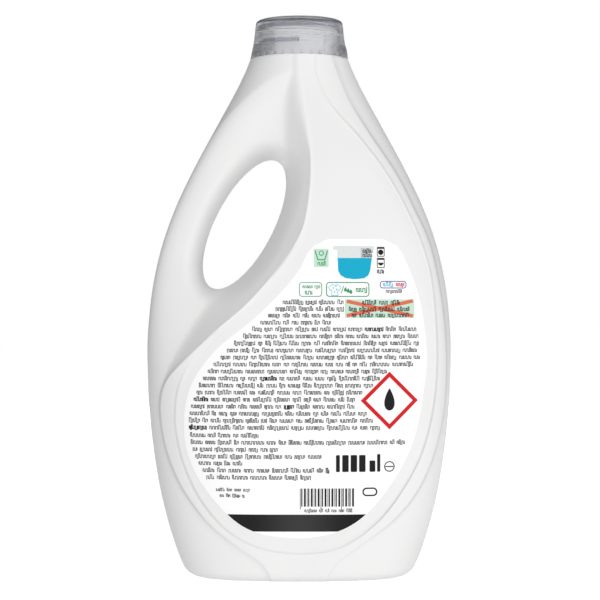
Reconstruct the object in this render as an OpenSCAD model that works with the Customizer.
// Laundry detergent bottle: a blow-moulded body with a handle through it, a drain-back
// pouring spout, a clear dosing cap, two film labels and the detergent inside.
//
// Frame: origin at the middle of the base, +Z up. The back label faces -Y and the
// handle is on the -X side. Millimetres throughout.

/* [Body] */
// Height of the shoulder, where the cap's skirt stops
shoulder_h = 266; // [215:1:320]
// Width across the body at its widest
body_w = 157; // [130:1:190]
// Depth from front to back at its deepest
body_d = 84; // [70:1:102]
// Wall of the blow moulding
wall = 1.1; // [0.9:0.1:1.6]
// Radius of the rounded lower edge
base_edge_r = 5; // [3:0.5:7]
// Rise of the base's middle above its standing ring
base_rise = 4; // [2:0.5:6]

/* [Handle] */
// Height of the hole through the handle
hole_h = 67; // [55:1:80]
// Width of the hole, measured level
hole_w = 33; // [26:1:40]
// Distance from the shoulder down to the top of the hole
hole_drop = 52; // [44:1:64]
// Lean of the hole, in sideways travel for each unit of height
hole_lean = 0.42; // [0.3:0.02:0.5]
// Width of the handle bar beside the middle of the hole
handle_w = 23; // [19:1:28]
// Depth of the handle bar from front to back
handle_d = 34; // [28:1:42]
// Distance over which the surface rounds into the hole
hole_round = 9; // [6:1:12]

/* [Neck] */
// Outer radius of the neck below the thread
neck_r = 19.8; // [17:0.1:23]
// Wall of the neck
neck_wall = 1.4; // [1.2:0.1:2]

/* [Dosing cap] */
// Height of the cap above the shoulder
cap_h = 20; // [18:0.5:26]
// Thickness of the cap's skirt
skirt_wall = 1.3; // [1:0.1:1.8]
// Room between the neck and the top of the skirt, which the threads share
thread_room = 1.5; // [1.3:0.1:2.3]
// Narrowing of the skirt's outside from its foot to its top
cap_taper = 2.8; // [2:0.1:3.5]
// Thickness of the cap's top
cap_top = 1.5; // [1.2:0.1:2]
// Thickness of the measuring cup's wall
cup_wall = 1.2; // [1:0.1:1.6]
// Room between the rim of the neck and the cap's top, where the spout's flange lies
rim_room = 4.5; // [3:0.1:6]

/* [Pouring spout] */
// Wall of the spout moulding
spout_wall = 1.2; // [1:0.1:1.6]
// Room between the pouring tube and the measuring cup round it
tube_room = 3; // [2:0.1:4]
// Depth of the drain floor below the shoulder
floor_drop = 22; // [18:0.5:26]
// Gap between the rim of the cup and the drain floor
cup_gap = 3; // [2:0.5:4]
// Room between the tube's lip and the cap's top, on the pouring side
lip_room = 6.5; // [4:0.5:9]
// Fall of the lip from the pouring side to the handle side
lip_fall = 14; // [9:1:18]

/* [Labels and contents] */
// Thickness of a label film
label_t = 0.15; // [0.1:0.05:0.3]
// Height of the detergent's surface
fill_h = 206; // [180:1:208]

/* [Hidden] */
$fn = 96;
clearance = 0.3;
slip = 0.15;
cup_room = 1;
label_gap = 0.25;
head_r = neck_r + thread_room + skirt_wall;
wide_r = head_r + cap_taper;
bore_r = neck_r - neck_wall;
cap_z = shoulder_h + cap_h;
cap_under = cap_z - cap_top;
neck_top = cap_under - rim_room;
sleeve_r = bore_r - slip;
floor_z = shoulder_h - floor_drop;
cup_out = sleeve_r - spout_wall - cup_room;
cup_in = cup_out - cup_wall;
tube_out = cup_in - tube_room;
tube_in = tube_out - spout_wall;
hole_top = shoulder_h - hole_drop;
hole_low = hole_top - hole_h;
hole_z = (hole_top + hole_low) / 2;

// Heights that the outlines below are drawn at: base, hole's foot and top, shoulder
DRAWN = [0, 147, 214, 266];
BUILT = [0, hole_low, hole_top, shoulder_h];
DRAWN_W = 157;
DRAWN_HOLE_X = -28.5;

// Half-width of the body, from 0 at the shoulder to 1 at its widest
WIDTHS = [
    [0, 0.605], [5, 0.65], [13, 0.712], [30, 0.812], [50, 0.896], [80, 0.972], [112, 1],
    [130, 0.987], [150, 0.943], [170, 0.856], [190, 0.72], [210, 0.54], [230, 0.338],
    [250, 0.134], [260, 0.045], [266, 0]
];
// Half-depth of the body, from 0 at the shoulder to 1 at its deepest
DEPTHS = [
    [0, 0.74], [12, 0.88], [30, 0.97], [50, 1], [150, 1], [180, 0.94], [205, 0.76],
    [230, 0.46], [250, 0.19], [266, 0]
];
// Squareness of the level sections: 2 is an ellipse
SQUARENESS = [[0, 3], [170, 3], [215, 2.6], [250, 2.15], [266, 2]];
// How far the handle side stands out, from 0 at the handle to 1 at the full depth
FULLNESS = [
    [0, 1], [78, 1], [90, 0.96], [100, 0.86], [111, 0.69], [124, 0.47], [138, 0.26],
    [150, 0.12], [165, 0], [205, 0], [216, 0.06], [230, 0.26], [245, 0.6], [258, 0.92],
    [266, 1]
];
// Sideways place of the crease where the full body falls away to the handle side
CREASE = [
    [0, -36], [30, -51], [60, -60], [88, -62.4], [100, -60.2], [111, -54.4],
    [125, -42.8], [136, -29.5], [150, -16.2], [165, -4.6], [178, 2], [195, 5], [211, 5.7],
    [230, 3.7], [246, 1.2], [266, 0]
];
// Sideways place of the line along which the grid opens into the hole
PARTING = [[0, -44], [30, -59], [60, -66.5], [88, -68], [100, -66], [112, -61.5],
    [124, -55.5], [147, -42.6]];
// Fall of the flank between crease and handle side, in depth for each unit of width
flank_slope = 1.33;
// Radius-like softness of the flank's foot
flank_soft = 3;
// Squareness of the handle side
handle_square = 4;

// Outline of a label: share of its root height, and sideways place of its two edges
LABEL_LOW = 22.7;
LABEL_HIGH = 171.7;
LABEL_LEFT = [
    [0, 0], [0.15, -22.9], [0.34, -41.1], [0.49, -53.6], [0.6, -57.7], [0.71, -54.4],
    [0.79, -42.2], [0.86, -21.5], [0.92, -5.8], [0.955, 1.4], [0.985, 6], [1, 14.4]
];
LABEL_RIGHT = [
    [0, 0], [0.2, 25.2], [0.4, 43.8], [0.56, 56.7], [0.73, 63.4], [0.8, 63.9],
    [0.9, 60], [0.975, 51.8], [0.99, 48.5], [1, 41.8]
];

// Index of the span of knots p that holds place t
function span(p, t, i = 0) =
    i >= len(p) - 2 || t < p[i + 1][0] ? i : span(p, t, i + 1);

// Slope of the smooth curve through knots p, at knot i
function tangent(p, i) =
    let (a = max(i - 1, 0), b = min(i + 1, len(p) - 1))
    (p[b][1] - p[a][1]) / (p[b][0] - p[a][0]);

// Height of the smooth curve through knots p, at place t
function curve(p, t) =
    let (i = span(p, t))
    let (w = p[i + 1][0] - p[i][0], u = min(max((t - p[i][0]) / w, 0), 1))
    let (v = 1 - u)
    p[i][1] * v * v * (1 + 2 * u) + p[i + 1][1] * u * u * (1 + 2 * v)
        + w * u * v * (v * tangent(p, i) - u * tangent(p, i + 1));

// Straight-line map of t from the places in list a to the places in list b
function remap(a, b, t, i = 0) =
    i >= len(a) - 2 || t < a[i + 1]
        ? b[i] + (b[i + 1] - b[i]) * (t - a[i]) / (a[i + 1] - a[i])
        : remap(a, b, t, i + 1);

function drawn(z) = remap(BUILT, DRAWN, z);
function built(h) = remap(DRAWN, BUILT, h);

// Loss of half-width from the rounded lower edge, at height z
function edge_loss(z) =
    z >= base_edge_r ? 0
        : base_edge_r - sqrt(base_edge_r * base_edge_r - pow(base_edge_r - z, 2));

// Half-width and half-depth of the surface that lies t inside the outside
function half_w(z, t) =
    wide_r + (body_w / 2 - wide_r) * curve(WIDTHS, drawn(z)) - edge_loss(z) - t;
function half_d(z, t) =
    wide_r + (body_d / 2 - wide_r) * curve(DEPTHS, drawn(z)) - edge_loss(z) - t;

// The hole is a leaning ellipse
hole_x = handle_w + hole_w / 2 - half_w(hole_z, 0);
function hole_mid(z) = hole_x + hole_lean * (z - hole_z);
function hole_half(z, t) =
    (hole_w / 2 + t) * sqrt(max(0, 1 - pow((z - hole_z) / (hole_h / 2 + t), 2)));

// Distance from the hole's edge, by the slope of the ellipse's equation
function hole_gap(x, z, t) =
    let (a = hole_w / 2 + t, b = hole_h / 2 + t)
    let (u = (x - hole_mid(z)) / a, v = (z - hole_z) / b)
    let (q = max(norm([u, v]), 0.001))
    (q - 1) * q / norm([u / a, v / b - hole_lean * u / a]);

// Sideways place of the crease, which shifts with the hole where it runs beside it
function crease_x(z) =
    let (h = drawn(z), near = min(1, max(0, min((h - 90) / 50, (262 - h) / 30))))
    curve(CREASE, h) * body_w / DRAWN_W
        + (hole_x - DRAWN_HOLE_X * body_w / DRAWN_W) * near;
// Sideways place of the parting, which meets the hole at its foot and leaves at its top
function parting_x(z) =
    let (from = 88, foot = PARTING[len(PARTING) - 1][1] * body_w / DRAWN_W)
    let (near = max(0, (drawn(z) - from) / (DRAWN[1] - from)))
    z > hole_z ? hole_mid(min(z, hole_top)) + max(0, z - hole_top) * 0.05
        : curve(PARTING, drawn(z)) * body_w / DRAWN_W + (hole_mid(hole_low) - foot) * near;

// Superellipse of half-width w, half-depth d and squareness n
function bulge(x, w, d, n) = d * pow(max(0, 1 - pow(abs(x) / w, n)), 1 / n);

// The larger of a and b, rounded where they are within s of each other
function soft_max(a, b, s) =
    let (k = max(0, s - abs(a - b)))
    max(a, b) + k * k / (4 * s);

// Half-depth at place x, z of the surface that lies t inside the outside
function depth_at(x, z, t) =
    let (w = half_w(z, t), d = half_d(z, t), n = curve(SQUARENESS, drawn(z)))
    let (full = bulge(x, w, d, n), m = curve(FULLNESS, drawn(z)))
    let (low_d = handle_d / 2 - t + (d - handle_d / 2 + t) * m)
    let (low = bulge(x, w, low_d, handle_square + (n - handle_square) * m))
    let (lean = (crease_x(z + 1) - crease_x(z - 1)) / 2)
    let (out = max(0, crease_x(z) - x) / sqrt(1 + lean * lean))
    let (side = soft_max(low, full - flank_slope * out, flank_soft))
    let (body = min(full, side))
    let (g = min(1, max(0, hole_gap(x, z, t) / hole_round)))
    body * sqrt(max(0, 1 - (1 - g) * (1 - g)));

// Columns of the grid: handle side, flank and panel side
LEFT_N = 8;
FLANK_N = 6;
RIGHT_N = 13;
COLS = LEFT_N + FLANK_N + RIGHT_N + 2;

// Sideways places of the columns at height z
function columns(z, t) =
    let (w = half_w(z, t), h = hole_half(z, t), m = parting_x(z))
    let (c = crease_x(z), inside = z >= hole_low - t && z <= hole_top + t)
    let (a = inside ? hole_mid(z) - h : m, b = inside ? hole_mid(z) + h : m)
    concat(
        [for (k = [0 : LEFT_N]) -w + (a + w) * (1 - cos(180 * k / LEFT_N)) / 2],
        [for (k = [0 : FLANK_N]) b + (c - b) * (1 - cos(90 * k / FLANK_N))],
        [for (k = [1 : RIGHT_N]) c + (w - c) * sin(90 * k / RIGHT_N)]
    );

// A row is [height of its shape, inset, scale, height it stands at, in the hole, at a tip]
function body_row(z, t) = [z, t, 1, z, false, false];

// Front points then back points of one row
function row_points(r) =
    let (xs = columns(r[0], r[1]))
    let (ys = [for (x = xs) depth_at(x, r[0], r[1])])
    concat(
        [for (j = [0 : COLS - 1]) [xs[j] * r[2], -ys[j] * r[2], r[3]]],
        [for (j = [0 : COLS - 1]) [xs[j] * r[2], ys[j] * r[2], r[3]]]
    );

// Index of the front (s = 0) or back (s = 1) point of column j in row i
function at(rows, i, j, s) =
    let (open = rows[i][4], tip = rows[i][5])
    let (k = j == LEFT_N + 1 && (!open || tip) ? LEFT_N : j)
    let (edge = k == 0 || k == COLS - 1 || (open && (k == LEFT_N || k == LEFT_N + 1)))
    2 * COLS * i + (edge ? 0 : s * COLS) + k;

// Two triangles between rows i and i + 1, facing out on the front or the back
function cell(rows, i, j, s) =
    let (a = at(rows, i, j, s), b = at(rows, i + 1, j, s))
    let (c = at(rows, i + 1, j + 1, s), d = at(rows, i, j + 1, s))
    s == 0 ? [[a, b, c], [a, c, d]] : [[a, c, b], [a, d, c]];

// Two triangles across row i from front to back, facing down (up = 0) or up (up = 1)
function lid(rows, i, j, up) =
    let (a = at(rows, i, j, 0), b = at(rows, i, j + 1, 0))
    let (c = at(rows, i, j + 1, 1), d = at(rows, i, j, 1))
    up == 1 ? [[a, c, b], [a, d, c]] : [[a, b, c], [a, c, d]];

// Drops the triangles that have two corners in one place
function whole(faces) =
    [for (f = faces) if (f[0] != f[1] && f[1] != f[2] && f[2] != f[0]) f];

// Solid between a first and a last row that are closed by lids
module skin(rows) {
    last = len(rows) - 1;
    spans = [for (j = [0 : COLS - 2]) if (j != LEFT_N) j];
    flip = rows[0][3] < rows[last][3] ? 1 : 0;
    sides = [for (i = [0 : last - 1], j = spans, s = [0, 1], f = cell(rows, i, j, s)) f];
    foot = [for (j = spans, f = lid(rows, 0, j, 0)) f];
    head = [for (j = spans, f = lid(rows, last, j, 1)) f];
    polyhedron(
        points = [for (r = rows, p = row_points(r)) p],
        faces = whole(concat(sides, foot, head)),
        convexity = 8
    );
}

// Rows of the base: its raised middle, its standing ring and its rounded edge
function base_rows(t) = [
    [0, t, 0.45, base_rise + t, false, false],
    [0, t, 0.78, base_rise * 0.7 + t, false, false],
    [0, t, 0.9, t, false, false],
    for (k = [0 : 4]) [base_edge_r * (1 - cos(22.5 * k)), t, 1,
        t + (base_edge_r - t) * (1 - cos(22.5 * k)), false, false]
];

LOWER_N = 17;
HOLE_N = 12;
UPPER_N = 8;

// Rows from the rounded edge up to the hole, closer together towards it
function lower_rows(t) =
    let (from = base_edge_r, to = hole_low - t)
    [for (k = [1 : LOWER_N - 1]) body_row(from + (to - from) * sin(90 * k / LOWER_N), t)];

// Rows beside the hole, closer together towards both of its tips
function hole_rows(t, top = 1e9) =
    let (from = hole_low - t, size = hole_h + 2 * t)
    [for (k = [0 : HOLE_N])
        let (z = from + size * (1 - cos(180 * k / HOLE_N)) / 2)
        if (z <= top) [z, t, 1, z, true, k == 0 || k == HOLE_N]];

// Rows from above the hole to height top
function upper_rows(t, top) =
    [for (k = [1 : UPPER_N])
        body_row(hole_top + t + (top - hole_top - t) * (1 - cos(90 * k / UPPER_N)), t)];

// A round row of radius r at height z
function neck_row(r, z) = [shoulder_h, 0, r / wide_r, z, false, false];

function backwards(v) = [for (i = [len(v) - 1 : -1 : 0]) v[i]];

// Blow-moulded body: outside up to the neck's rim, then the inside down to the base
module bottle() {
    ledge = 2;
    outside = concat(base_rows(0), lower_rows(0), hole_rows(0), upper_rows(0, shoulder_h));
    inside = concat(
        base_rows(wall), lower_rows(wall), hole_rows(wall),
        upper_rows(wall, shoulder_h - ledge - 3)
    );
    neck = [
        neck_row(neck_r, shoulder_h), neck_row(neck_r, neck_top),
        neck_row(bore_r, neck_top), neck_row(bore_r, shoulder_h - ledge)
    ];
    color("white") skin(concat(outside, neck, backwards(inside)));
}

// Drain-back spout: sleeve with a flange on the neck's rim, drain floor, pouring tube
module pour_spout() {
    sleeve_in = sleeve_r - spout_wall;
    flange_r = neck_r - slip;
    lip_z = cap_under - lip_room;
    lip_angle = atan(lip_fall / (2 * tube_out));
    stub = 2;
    floor_fall = 1.5;
    slot_w = 6;
    slot_h = 7;
    color("whitesmoke") difference() {
        rotate_extrude() polygon([
            [tube_in, floor_z - stub], [tube_out, floor_z - stub], [sleeve_r, floor_z],
            [sleeve_r, neck_top], [flange_r, neck_top], [flange_r, neck_top + spout_wall],
            [sleeve_in, neck_top + spout_wall], [sleeve_in, floor_z + spout_wall],
            [tube_out, floor_z + spout_wall - floor_fall], [tube_out, lip_z], [tube_in, lip_z]
        ]);
        // The slanted lip
        translate([tube_out, 0, lip_z]) rotate([0, -lip_angle, 0])
            translate([-3 * tube_out, -tube_out - slip, 0])
                cube([3 * tube_out, 2 * (tube_out + slip), 2 * lip_fall]);
        // The slot through which spilt detergent drains back
        translate([-tube_out - 1, -slot_w / 2, floor_z + spout_wall - floor_fall])
            cube([spout_wall + 3, slot_w, slot_h]);
    }
}

// Clear cap: outer skirt, flat top, and the measuring cup that hangs inside the neck
module dosing_cap() {
    skirt_z = shoulder_h + clearance;
    cup_z = floor_z + spout_wall + cup_gap;
    knee = 0.45 * cap_h;
    flare = 0.25 * cap_taper;
    corner = 2;
    color("lightsteelblue", 0.6) rotate_extrude() polygon(concat(
        [[0, cap_under], [cup_in, cap_under], [cup_in, cup_z], [cup_out, cup_z],
            [cup_out, cap_under], [head_r - skirt_wall, cap_under],
            [head_r + flare - skirt_wall, shoulder_h + knee],
            [wide_r - skirt_wall, skirt_z], [wide_r, skirt_z],
            [head_r + flare, shoulder_h + knee]],
        [for (a = [0 : 30 : 90])
            [head_r - corner + corner * cos(a), cap_z - corner + corner * sin(a)]],
        [[0, cap_z]]
    ));
}

LABEL_ROWS = 16;
LABEL_COLS = 14;

// Corners of the label film: row i from its foot, column j from its left edge
function label_point(i, j, lift) =
    let (v = i / LABEL_ROWS, u = j / LABEL_COLS, k = body_w / DRAWN_W)
    let (z = built(LABEL_LOW + (LABEL_HIGH - LABEL_LOW) * v * v))
    let (a = curve(LABEL_LEFT, v) * k, b = curve(LABEL_RIGHT, v) * k)
    let (x = a + (b - a) * u)
    [x, -depth_at(x, z, 0) - lift, z];

// Film label on the -Y face
module film() {
    n = LABEL_COLS + 1;
    function id(i, j, s) = i == 0 ? s * (LABEL_ROWS + 1) * n
        : (s * (LABEL_ROWS + 1) + i) * n + j;
    function quad(a, b, c, d) = [[a, b, c], [a, c, d]];
    lifts = [label_gap, label_gap + label_t];
    faces = concat(
        [for (i = [0 : LABEL_ROWS - 1], j = [0 : LABEL_COLS - 1])
            each quad(id(i, j, 1), id(i + 1, j, 1), id(i + 1, j + 1, 1), id(i, j + 1, 1))],
        [for (i = [0 : LABEL_ROWS - 1], j = [0 : LABEL_COLS - 1])
            each quad(id(i, j, 0), id(i, j + 1, 0), id(i + 1, j + 1, 0), id(i + 1, j, 0))],
        [for (i = [0 : LABEL_ROWS - 1])
            each quad(id(i, 0, 0), id(i + 1, 0, 0), id(i + 1, 0, 1), id(i, 0, 1))],
        [for (i = [0 : LABEL_ROWS - 1])
            let (m = LABEL_COLS)
            each quad(id(i, m, 1), id(i + 1, m, 1), id(i + 1, m, 0), id(i, m, 0))],
        [for (j = [0 : LABEL_COLS - 1])
            let (m = LABEL_ROWS)
            each quad(id(m, j, 0), id(m, j + 1, 0), id(m, j + 1, 1), id(m, j, 1))]
    );
    polyhedron(
        points = [for (s = [0, 1], i = [0 : LABEL_ROWS], j = [0 : LABEL_COLS])
            label_point(i, j, lifts[s])],
        faces = whole(faces),
        convexity = 4
    );
}

module back_label() {
    color("snow") film();
}

module front_label() {
    color("mediumseagreen") mirror([0, 1, 0]) film();
}

// Detergent up to its surface, just clear of the wall
module detergent() {
    t = wall + clearance;
    level = min(fill_h, hole_top - 4);
    rows = hole_rows(t, level - 1);
    color("deepskyblue") skin(concat(
        base_rows(t), lower_rows(t), rows, [[level, t, 1, level, true, false]]
    ));
}

bottle();
pour_spout();
dosing_cap();
back_label();
front_label();
detergent();
